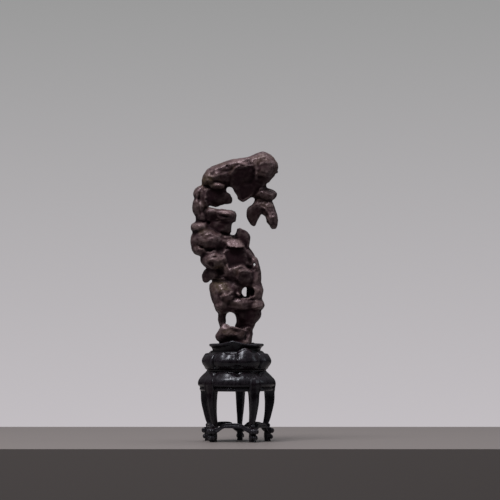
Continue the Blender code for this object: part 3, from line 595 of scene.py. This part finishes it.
def wear_and_light_of(mesh, fine, broad, gains):
    """Red where the surface is raised, for rubbed edges and painted highlights, green where it is hollow, for
    painted shade, judged after two counts of smoothing.
    """
    points = points_of(mesh)
    normals = normals_of(mesh)
    mean = neighbour_mean(mesh)
    wear_and_light = np.zeros((len(points), 4))
    wear_and_light[:, 3] = 1
    soft = points.copy()
    bend = np.zeros(len(points))
    for rounds in range(1, broad + 1):
        soft = mean(soft)
        if rounds == fine:
            bend += gains[0] * np.einsum("ij,ij->i", points - soft, normals)
    bend += gains[1] * np.einsum("ij,ij->i", points - soft, normals)
    bend = mean(mean(bend))
    wear_and_light[:, 0] = np.clip(bend, 0, 1)
    wear_and_light[:, 1] = np.clip(-bend, 0, 1)
    return wear_and_light


def put_colour(mesh, name, values):
    layer = mesh.color_attributes.new(name, "FLOAT_COLOR", "POINT")
    layer.data.foreach_set("color", values.astype(np.float32).ravel())


def paint_rock(mesh):
    """Vertex colours: tone holds pale, dark and olive shares, with painted highlights in the pale and painted
    shade in the dark; the other colour holds raised edges and hollows, for painted highlights and painted
    shade.
    """
    points = points_of(mesh)
    tone = np.zeros((len(points), 4))
    tone[:, 3] = 1
    # Pale patches are paler stone with painted highlights, dark patches darker stone with painted shade.
    for channel, patches in enumerate(PATCHES):
        for *ellipse, amount in patches:
            tone[:, channel] = np.maximum(tone[:, channel], amount * spot(points, *ellipse))
    # Pale faces are painted as highlights on lit faces, dark faces as shade under overhangs and in recesses.
    for channel, amount, _, _, _, outline in FACES:
        share = within(points, outline, 0.5)
        tone[:, 1 - channel] *= 1 - 0.9 * share
        tone[:, channel] = np.maximum(tone[:, channel] * (1 - share), amount * share)
    # Raised lines painted pale as highlights where they catch light, sunken lines painted dark as shade.
    for half_width, rise, path in LINES:
        share = line(points, half_width, path)
        channel = PALE if rise > 0 else DARK
        tone[:, 1 - channel] *= 1 - 0.8 * share
        tone[:, channel] = np.maximum(tone[:, channel], 0.7 * min(abs(rise), 1.2) * share)
    front = ramp(-points[:, 1], -9, -3)[:, None]
    around = np.zeros((len(points), 3))
    for i, point in enumerate(points):
        where = Vector(point)
        around[i, 0] = noise.noise(where / 9)
        around[i, 1] = noise.noise(where / 12 + Vector((7, 0, 0)))
        around[i, 2] = noise.noise(where / 14 + Vector((0, 9, 0)))
    around = np.clip(around * 1.6, 0, 1) * (1 - front) * (0.7, 0.8, 0.9)
    tone[:, :3] = np.clip(tone[:, :3] * front + around, 0, 1)
    put_colour(mesh, "tone", tone)
    # Raised edges for rubbing and painted highlight, hollows for painted shade.
    put_colour(mesh, "wear_and_light", wear_and_light_of(mesh, 6, 40, (5, 1.6)))


def make_rock():
    rock = rock_shape()
    fine_relief(rock.data)
    paint_rock(rock.data)
    rock.data.shade_smooth()
    rock.location = AXIS
    return rock


def through(controls, steps):
    """A smooth run of points through the control points, which are the first axis of the array."""
    controls = np.asarray(controls, float)
    padded = np.concatenate([2 * controls[:1] - controls[1:2], controls, 2 * controls[-1:] - controls[-2:-1]])
    rows = []
    for k in range(len(controls) - 1):
        a, b, c, d = padded[k:k + 4]
        for t in np.arange(steps) / steps:
            square, cube = (2 * a - 5 * b + 4 * c - d) * t ** 2, (3 * b - a - 3 * c + d) * t ** 3
            rows.append(0.5 * (2 * b + (c - a) * t + square + cube))
    rows.append(controls[-1])
    return np.array(rows)


def skin(name, rings):
    """A closed skin over a stack of rings of points in millimetres, with both ends capped."""
    count, around = rings.shape[:2]
    faces = [tuple(range(around)), tuple((count - 1) * around + j for j in range(around))]
    for i in range(count - 1):
        for j in range(around):
            k = (j + 1) % around
            faces.append((i * around + j, i * around + k, (i + 1) * around + k, (i + 1) * around + j))
    mesh = bpy.data.meshes.new(name)
    mesh.from_pydata((rings.reshape(-1, 3) * MM).tolist(), [], faces)
    build = bmesh.new()
    build.from_mesh(mesh)
    bmesh.ops.recalc_face_normals(build, faces=build.faces)
    return built(name, build)


def swept(name, section, steps, around=360):
    """A carved turning. Section gives rows of (radius, height) for every angle, from one end to the other."""
    turns = np.linspace(0, 360, around, endpoint=False)
    rows = through(section(turns), steps)
    radius, height = rows[:, 0], rows[:, 1]
    angle = np.radians(turns - 90)
    return skin(name, np.stack([radius * np.cos(angle), radius * np.sin(angle), height], axis=-1))


def from_turn(turns, centre):
    """Signed degrees from a turn."""
    return (turns - centre + 180) % 360 - 180


def petals(turns):
    """Place within the lobe, -1 to 1, and the number of the lobe."""
    lobe = (turns - LOBE_TURN) / LOBE_WIDTH + 0.5
    return 2 * (lobe - np.floor(lobe)) - 1, np.floor(lobe).astype(int) % LOBES


def bump(values, middle, width):
    """1 at the middle, falling to 0 over about the width on both sides."""
    return np.exp(-((values - middle) / width) ** 2)


def profile(turns, *rows):
    """Rows of (radius, height), each a number or one number for every turn."""
    return np.array([[np.broadcast_to(value, turns.shape) for value in row] for row in rows], float)


def drum_section(turns):
    """The lobed body: tall and low lobes, some with a cusp, a bead and a seam between neighbours."""
    u, number = petals(turns)
    ahead = bump(from_turn(turns, 1), 0, 9) * (1 - np.abs(from_turn(turns, 1)) / 180)
    swell = 1 - np.abs(u) ** 2.4
    crown = np.array([5.2, 2.8, 1.2, 1.4, 4.6, 2.6, 0.4, 1.8])[number]
    split = np.array([0, 0, 1, 0.6, 0, 0, 1, 1])[number]
    cusp = split * bump(u, 0, 0.26)
    two = np.clip(1 - (2 * np.abs(u) - 0.95) ** 2, 0, 1) ** 0.7
    one = np.clip(1 - (u + 0.2) ** 2 * 1.1, 0, 1)
    top = 69.8 + crown * np.where(split > 0, two, one) - 0.4 * cusp
    wide = 26.2 + 2.6 * swell
    bead = 0.5 * bump(np.abs(u), 0.84, 0.09)
    seam = bump(np.abs(u), 1, 0.08)
    high = bead - 1.3 * seam
    low = (bead - 0.9 * seam) * (1 - 0.8 * ahead) + 1.2 * ahead * (1 - swell)
    return profile(
        turns,
        (6, 69), (19.2, 69), (19.9, top - 1.4), (20.4, top - 0.3), (21.2, top + 0.1),
        (22 + 0.3 * high, top - 0.1), (22.7 + 0.2 * high, top - 0.8),
        (23.5 + 0.4 * swell - 0.5 * cusp + high, top - 1.7),
        (wide - 3 - 0.8 * cusp + high, 69.3 + 0.3 * crown),
        (wide - 1.4 - 0.6 * cusp + 0.8 * high, 67.6 + 0.1 * crown), (wide - 0.4 - 0.2 * cusp + low, 66),
        (wide + low, 64.2), (wide - 0.6 + low, 62), (wide - 2 + 0.7 * low, 60),
        (25 + 0.3 * swell + 0.4 * low, 58.5), (23.9, 57.4), (23.5, 56.4), (22, 56.2), (6, 56.2),
    )


def apron_section(turns):
    """The shouldered ring, with lappets round its top."""
    u, _ = petals(turns)
    arch = np.clip(1 - u ** 2, 0, 1) ** 0.6
    seam = bump(np.abs(u), 1, 0.12)
    inner = 0.35 * bump(np.abs(u), 0.55, 0.12)
    top = 54.2 + 2.3 * arch
    return profile(
        turns,
        (6, 53), (21.6, 53), (22.4, 56), (23.6, top + 0.1), (24.5 - 0.2 * seam, top - 0.1),
        (25.1 - 0.4 * seam, top - 0.9), (26 - 0.5 * seam + 0.3 * inner, top - 1.7),
        (28 - 0.4 * seam + inner, 52.2), (29.6 - 0.2 * seam + 0.5 * inner, 50.4), (30.6, 48.4), (30.9, 46.4),
        (30.6, 45), (29.8, 44.2), (28.9, 43.7), (28.7, 43.2), (29.3, 42.8), (29.5, 41.8), (29, 40.9),
        (28, 40.5), (26.4, 40.9), (26, 43), (25.6, 46), (6, 46.4),
    )


def collar_section(turns):
    """The oval cup, with leaves round the stone's foot and a rolled lip."""
    angle = np.radians(turns)
    oval = 1 / np.sqrt((np.sin(angle) / 14.7) ** 2 + (np.cos(angle) / 12.7) ** 2) - np.sin(angle)
    leaf = np.zeros_like(turns)
    for centre, rise, width in COLLAR_LEAVES:
        away = from_turn(turns, centre) / width
        leaf = np.maximum(leaf, rise * np.clip(1 - away ** 2, 0, 1) ** 0.7 - 0.4 * bump(away, 0, 0.14))
    lift = 2.3 * bump(from_turn(turns, -8), 0, 24) + 0.6 * bump(from_turn(turns, -9), 0, 5)
    lift += 1.6 * bump(from_turn(turns, 170), 0, 24)
    lip = 0.35 * np.cos(np.radians(6 * (turns + 12))) - 0.35 * lift
    return profile(
        turns,
        (3, 75.4), (oval - 0.9, 75.4), (oval - 0.1, 76), (oval + 0.2, 77.2 + 0.6 * leaf),
        (oval + 0.8 + 0.2 * leaf, 77.3 + leaf), (oval + 1.6 + 0.3 * leaf, 77.2 + leaf),
        (oval + 2.2 + 0.2 * leaf, 76.8 + 0.7 * leaf), (17.5 - 0.2 * lift, 76.9 + 0.5 * lift),
        (18.7 - 0.2 * lift, 77 + 0.7 * lift), (20 + lip, 77.7 + lift), (21.1 + lip, 78 + lift),
        (21.9 + lip, 77.2 + lift), (21.5 + lip, 76.3 + 0.9 * lift), (20.5 + 0.5 * lip, 75.5 + 0.6 * lift),
        (19.7, 74.6 + 0.3 * lift), (19.2, 73.2), (19.2, 71.9), (19.8, 70.9), (20.4, 70.3), (20, 69.6),
        (3, 69.6),
    )


# A leg from its top down: height, outer and inner radius, half width in front, half width at the back.
LEG_STATIONS = [
    (51.5, 28.6, 26, 2.6, 2.6), (50, 30.2, 26, 3.9, 3.4), (48, 31.2, 25, 4.7, 4),
    (46.4, 31.5, 24, 5.1, 4.2), (44.8, 31.4, 23.4, 5.2, 4.4), (43, 31.1, 23, 5.2, 4.5),
    (41.4, 31, 22.8, 4.9, 4.2), (40, 30.9, 22.8, 4.3, 3.7), (38.4, 30.8, 22.9, 3.9, 3.3),
    (35, 30.9, 23.1, 3.6, 3), (31, 30.6, 23.3, 3.4, 2.8), (27, 29.8, 23.2, 3.1, 2.5),
    (23, 28.8, 23, 2.8, 2.2), (19, 27.8, 22.5, 2.4, 2), (16, 26.8, 22, 2.2, 1.8),
    (13.6, 25.8, 21.6, 2, 1.8), (12.3, 25.7, 21.5, 2.1, 1.9), (11.4, 26.8, 21.7, 2.4, 2.1),
    (10.7, 28.7, 22, 2.8, 2.3), (9.6, 29.9, 22.4, 3, 2.4), (8.4, 30.1, 22.6, 3, 2.4),
    (7.2, 29.5, 22.7, 2.8, 2.3), (6.3, 28, 22.6, 2.3, 2.1), (5.7, 28.1, 22.5, 2.3, 2.1),
    (4.8, 29.2, 22.5, 2.8, 2.3), (3.6, 29.4, 22.5, 2.9, 2.3), (2.6, 28.8, 22.6, 2.5, 2.2),
    (2, 27.6, 22.8, 2.2, 2), (1.2, 27.7, 22.9, 2.3, 2.1), (0.4, 27.9, 23, 2.3, 2.1),
    (0, 27.6, 23.2, 2.2, 2),
]
# Across a leg: share of the depth from the back, share of the half width. A ridge runs down the front, with a
# raised thread inside each edge.
LEG_ACROSS = [
    (0, 0), (0.02, 0.5), (0.1, 0.86), (0.32, 0.98), (0.6, 1), (0.84, 1), (0.93, 0.96), (0.95, 0.86),
    (0.915, 0.76), (0.92, 0.66), (0.96, 0.4), (0.985, 0.15), (1, 0),
]
# Scroll bosses on a foot: distance from the axis, place across, height, radii.
FOOT_BOSSES = [
    (28.2, 2.6, 8.5, 1.9, 1.3, 2.1), (28.2, -2.6, 8.5, 1.9, 1.3, 2.1), (29.3, 0, 8.5, 1.5, 2.2, 2),
    (27.8, 2.3, 3.5, 1.5, 1, 1.5), (27.8, -2.3, 3.5, 1.5, 1, 1.5), (28.4, 0, 3.4, 1.5, 1.9, 1.7),
    (26.4, 0, 12.6, 1.1, 1.9, 1.6),
]


def make_leg(name, turn):
    """A lofted shaft with scroll bosses on its foot."""
    stations = through(LEG_STATIONS, 4)
    across = through(LEG_ACROSS, 2)
    across = np.concatenate([across, across[-2:0:-1] * (1, -1)])
    rings = []
    for height, outer, inner, front, back in stations:
        depth = inner + across[:, 0] * (outer - inner)
        half = back + (front - back) * np.clip(across[:, 0] * 1.6, 0, 1)
        rings.append(np.stack([depth, across[:, 1] * half, np.full(len(depth), height)], axis=-1))
    shaft = skin(name, np.array(rings))
    bosses = ellipsoids(name, [place(*numbers) for numbers in FOOT_BOSSES], 20, 12)
    leg = joined(name, [shaft, bosses])
    leg.data.transform(Matrix.Rotation(math.radians(turn - 90), 4, "Z"))
    return leg


# A stretcher from its middle to one end: place along it, top, bottom.
STRETCHER_STATIONS = [
    (0, 15.1, 11.2), (2, 15.1, 11.2), (4, 14.9, 11.2), (5.4, 14.3, 10.9), (6.6, 13.2, 9.9),
    (7.8, 12.2, 8.6), (9, 11.5, 7.6), (10.2, 11.1, 7), (11.2, 11, 6.8),
]
# Across a stretcher: share of the half width outwards, share of the half height.
STRETCHER_ACROSS = [
    (-1, -0.7), (-1, -0.1), (-0.78, 0.12), (-1, 0.34), (-0.98, 0.8), (-0.8, 1), (0.8, 1), (0.98, 0.8),
    (1, 0.34), (0.78, 0.12), (1, -0.1), (1, -0.7), (0.85, -1), (-0.85, -1),
]


def make_stretcher(name, turn, next_turn):
    """A humped bar between the legs at two turns."""
    half = through(STRETCHER_STATIONS, 3)
    reach = STRETCHER_RADIUS * math.tan(math.radians((next_turn - turn) / 2)) - STRETCHER_END_INSET
    half[:, 0] *= reach / half[-1, 0]
    stations = np.concatenate([half[:0:-1] * (-1, 1, 1), half])
    rings = []
    across = np.array(STRETCHER_ACROSS)
    radius = STRETCHER_RADIUS + across[:, 0] * STRETCHER_HALF_WIDTH
    for along, top, bottom in stations:
        heights = (top + bottom) / 2 + across[:, 1] * (top - bottom) / 2
        rings.append(np.stack([radius, np.full(len(across), along), heights], axis=-1))
    bar = skin(name, np.array(rings))
    bar.data.transform(Matrix.Rotation(math.radians((turn + next_turn) / 2 - 90), 4, "Z"))
    return bar


def make_stand():
    pieces = {
        "seat_collar": swept("carved_collar", collar_section, 3, 300),
        "drum": swept("carved_drum", drum_section, 4),
        "apron_ring": swept("carved_apron", apron_section, 3),
    }
    for i, turn in enumerate(LEG_TURNS):
        next_turn = LEG_TURNS[i + 1] if i + 1 < len(LEG_TURNS) else LEG_TURNS[0] + 360
        pieces[f"leg_{i + 1}"] = make_leg(f"carved_leg_{i + 1}", turn)
        pieces[f"stretcher_{i + 1}"] = make_stretcher(f"carved_stretcher_{i + 1}", turn, next_turn)
    for piece in pieces.values():
        # Raised edges for rubbing and painted highlight, hollows for painted shade.
        put_colour(piece.data, "wear_and_light", wear_and_light_of(piece.data, 3, 14, (3, 1.2)))
        piece.data.shade_smooth()
        piece.data.set_sharp_from_angle(angle=STAND_SHARP_ANGLE)
        piece.location = AXIS
    return pieces


class Wires:
    """A node tree being wired: each call adds a node and returns its output."""

    def __init__(self, tree):
        self.tree = tree
        self.where = self.node("TexCoord", {}).outputs

    def link(self, source, socket):
        """Wire a socket to another, or set it to a colour or a number."""
        if isinstance(source, bpy.types.NodeSocket):
            self.tree.links.new(source, socket)
        else:
            socket.default_value = (*source, 1) if isinstance(source, tuple) else source

    def set(self, socket, source):
        """Wire or set an input of the surface."""
        self.link(source, self.tree.nodes["Principled BSDF"].inputs[socket])

    def node(self, kind, inputs):
        """A new node with its inputs wired to sockets or set to values."""
        node = self.tree.nodes.new("ShaderNode" + kind)
        for socket, source in inputs.items():
            self.link(source, node.inputs[socket])
        return node

    def noise(self, scale, detail, roughness, distortion=0.0):
        inputs = {"Scale": scale, "Detail": detail, "Roughness": roughness, "Distortion": distortion}
        return self.node("TexNoise", {"Vector": self.where["Object"], **inputs}).outputs["Fac"]

    def cells(self, scale):
        return self.node("TexVoronoi", {"Vector": self.where["Object"], "Scale": scale}).outputs["Distance"]

    def colour_of(self, attribute):
        """The red, green and blue of a vertex colour."""
        node = self.node("Attribute", {})
        node.attribute_name = attribute
        return self.node("SeparateColor", {"Color": node.outputs["Color"]}).outputs[:3]

    def map(self, value, low, high, to_low=0.0, to_high=1.0):
        inputs = {"Value": value, "From Min": low, "From Max": high, "To Min": to_low, "To Max": to_high}
        return self.node("MapRange", inputs).outputs["Result"]

    def math(self, operation, first, second, clamp=False):
        node = self.node("Math", {0: first, 1: second})
        node.operation = operation
        node.use_clamp = clamp
        return node.outputs["Value"]

    def mix(self, share, first, second):
        node = self.tree.nodes.new("ShaderNodeMix")
        node.data_type = "RGBA"
        for socket, source in ((0, share), (6, first), (7, second)):
            self.link(source, node.inputs[socket])
        return node.outputs[2]

    def bump(self, height, distance, strength, under=None):
        inputs = {"Height": height, "Distance": distance, "Strength": strength}
        if under:
            inputs["Normal"] = under
        return self.node("Bump", inputs).outputs["Normal"]


def new_material(name):
    material = bpy.data.materials.new(name)
    material.use_nodes = True
    return material, Wires(material.node_tree)


def stone_material():
    """Dark, oily stone: purple-brown ground, pale taupe and olive patches, pale highlights and dark shade
    painted over it, hollows darkened as painted shade and made duller, raised edges lightened as rubbing and
    painted highlight.
    """
    material, shade = new_material("polished_stone")
    pale, dark, olive = shade.colour_of("tone")
    raised, hollow, _ = shade.colour_of("wear_and_light")
    mottle = shade.noise(330, 5, 0.62, 0.4)
    cloud = shade.noise(95, 4, 0.55, 0.6)
    grain = shade.noise(1500, 3, 0.6)
    ground = shade.mix(shade.map(mottle, 0.36, 0.66), (0.026, 0.0125, 0.0155), (0.07, 0.039, 0.046))
    ground = shade.mix(shade.map(cloud, 0.46, 0.62), ground, (0.07, 0.045, 0.038))
    # Pale taupe stone, with painted highlights where it lies on lit faces and ridges.
    pale_share = shade.math("MULTIPLY", pale, shade.map(mottle, 0.3, 0.62, 0.25, 1.0), clamp=True)
    ground = shade.mix(pale_share, ground, (0.19, 0.13, 0.135))
    olive_share = shade.math("MULTIPLY", olive, shade.map(cloud, 0.35, 0.6, 0.5, 1.0))
    ground = shade.mix(olive_share, ground, (0.08, 0.062, 0.031))
    # Darker stone, with painted shade under overhangs, in recesses and on faces turned from the light.
    ground = shade.mix(shade.math("MULTIPLY", dark, 0.95, clamp=True), ground, (0.02, 0.006, 0.0105))
    # Painted shade in the hollows.
    ground = shade.mix(shade.math("MULTIPLY", hollow, 0.75), ground, (0.009, 0.0042, 0.005))
    # Raised edges lightened: rubbing and a painted highlight.
    rubbed_and_lit = shade.math("MULTIPLY", raised, shade.map(mottle, 0.4, 0.6, 0.1, 0.55))
    ground = shade.mix(rubbed_and_lit, ground, (0.18, 0.14, 0.138))
    shade.set("Base Color", ground)
    rough = shade.map(mottle, 0.3, 0.7, 0.3, 0.52)
    rough = shade.math("ADD", rough, shade.math("MULTIPLY", hollow, 0.25))
    rough = shade.math("ADD", rough, shade.math("MULTIPLY", dark, 0.25))
    rough = shade.math("SUBTRACT", rough, shade.math("MULTIPLY", raised, 0.12), clamp=True)
    shade.set("Roughness", rough)
    pits = shade.map(shade.cells(620), 0.0, 0.42)
    shade.set("Normal", shade.bump(pits, 0.0001, 0.5, shade.bump(grain, 0.00012, 0.5)))
    shade.set("Specular IOR Level", 0.3)
    shade.set("Specular Tint", (1, 0.8, 0.88))
    return material


def lacquer_material():
    """Near-black lacquered hardwood: faint red-brown grain, edges lightened blue-grey as rubbing and painted
    highlight, hollows of the carving darkened as painted shade and made duller.
    """
    material, shade = new_material("lacquered_hardwood")
    raised, hollow, _ = shade.colour_of("wear_and_light")
    streak = shade.noise(260, 4, 0.6, 1.2)
    cloud = shade.noise(60, 3, 0.5)
    grain = shade.noise(1300, 3, 0.6)
    colour = shade.mix(shade.map(streak, 0.4, 0.65), (0.0042, 0.0022, 0.0036), (0.0105, 0.005, 0.0078))
    colour = shade.mix(shade.map(cloud, 0.5, 0.68, 0, 0.6), colour, (0.013, 0.006, 0.0075))
    # Painted shade in the hollows of the carving.
    colour = shade.mix(shade.math("MULTIPLY", hollow, 0.8, clamp=True), colour, (0.003, 0.0025, 0.003))
    # Raised edges lightened blue-grey: rubbing and a painted highlight.
    rubbed_and_lit = shade.math("MULTIPLY", raised, shade.map(streak, 0.38, 0.62, 0.15, 0.7), clamp=True)
    colour = shade.mix(rubbed_and_lit, colour, (0.035, 0.034, 0.042))
    shade.set("Base Color", colour)
    rough = shade.math("ADD", shade.map(streak, 0.3, 0.7, 0.2, 0.33), shade.math("MULTIPLY", hollow, 0.3))
    shade.set("Roughness", rough)
    shade.set("Normal", shade.bump(grain, 0.00002, 0.12, shade.bump(streak, 0.00006, 0.08)))
    shade.set("Specular IOR Level", 0.3)
    shade.set("Specular Tint", (0.8, 0.9, 1))
    shade.set("Coat Weight", 0.08)
    shade.set("Coat Roughness", 0.12)
    return material


def plain_material(name, colour, roughness):
    material, shade = new_material(name)
    shade.set("Base Color", colour)
    shade.set("Roughness", roughness)
    return material


def block(name, low, high):
    build = bmesh.new()
    middle = Matrix.Translation((Vector(low) + Vector(high)) / 2)
    size = Vector(high) - Vector(low)
    bmesh.ops.create_cube(build, size=1, matrix=middle @ Matrix.Diagonal((*size, 1)))
    return built(name, build)


def soft_light(name, where, size, power, colour):
    """A rectangular light aimed at the middle of the object."""
    light = bpy.data.lights.new(name, "AREA")
    light.shape = "RECTANGLE"
    light.size, light.size_y = size
    light.energy = power
    light.color = colour
    item = bpy.data.objects.new(name, light)
    item.location = where
    item.rotation_euler = (LIGHT_AIM - Vector(where)).to_track_quat("-Z", "Y").to_euler()
    bpy.context.scene.collection.objects.link(item)


def make_world():
    """A pale background; what lights the object is brighter from above than from the sides."""
    world = bpy.data.worlds.new("studio")
    world.use_nodes = True
    wires = Wires(world.node_tree)
    up = wires.node("SeparateXYZ", {"Vector": wires.where["Generated"]}).outputs["Z"]
    behind = wires.mix(wires.map(up, -0.045, 0.055), (0.56, 0.53, 0.555), (0.32, 0.32, 0.32))
    lighting = wires.mix(wires.map(up, 0, 1), (0.012, 0.011, 0.012), (0.3, 0.305, 0.315))
    seen = world.node_tree.nodes["Background"]
    wires.link(behind, seen.inputs["Color"])
    lit = wires.node("Background", {"Color": lighting})
    camera_ray = wires.node("LightPath", {}).outputs["Is Camera Ray"]
    either = wires.node("MixShader", {0: camera_ray, 1: lit.outputs[0], 2: seen.outputs[0]})
    wires.link(either.outputs[0], world.node_tree.nodes["World Output"].inputs["Surface"])
    bpy.context.scene.world = world


def make_stage():
    floor = block("pale_floor", (-1.4, -0.15, -0.06), (1.4, 0.31, 0))
    floor.data.materials.append(plain_material("pale_floor", (0.23, 0.212, 0.205), 0.35))
    soft_light("key", (-0.4, -0.6, 1.7), (0.7, 0.7), 27, (1, 0.94, 0.95))
    soft_light("top", (0.1, 0.2, 1.7), (0.9, 0.9), 12, (1, 0.95, 0.98))
    soft_light("side", (1.5, -0.2, 0.9), (0.4, 0.9), 2, (0.93, 0.96, 1))
    make_world()
    bpy.context.scene.view_settings.view_transform = "Standard"


def make_camera():
    camera = bpy.data.cameras.new("camera")
    camera.sensor_width = 36
    camera.lens = CAMERA_LENS
    camera.clip_end = 50
    item = bpy.data.objects.new("camera", camera)
    item.location = CAMERA_PLACE
    item.rotation_euler = (math.radians(90), 0, 0)
    bpy.context.scene.collection.objects.link(item)
    bpy.context.scene.camera = item


rock = make_rock()
rock.data.materials.clear()  # the Booleans leave empty slots behind
rock.data.materials.append(stone_material())
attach(rock, "root")
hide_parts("rock")

lacquer = lacquer_material()
for node, piece in make_stand().items():
    piece.data.materials.clear()
    piece.data.materials.append(lacquer)
    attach(piece, "root")
    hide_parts(node)

make_stage()
make_camera()
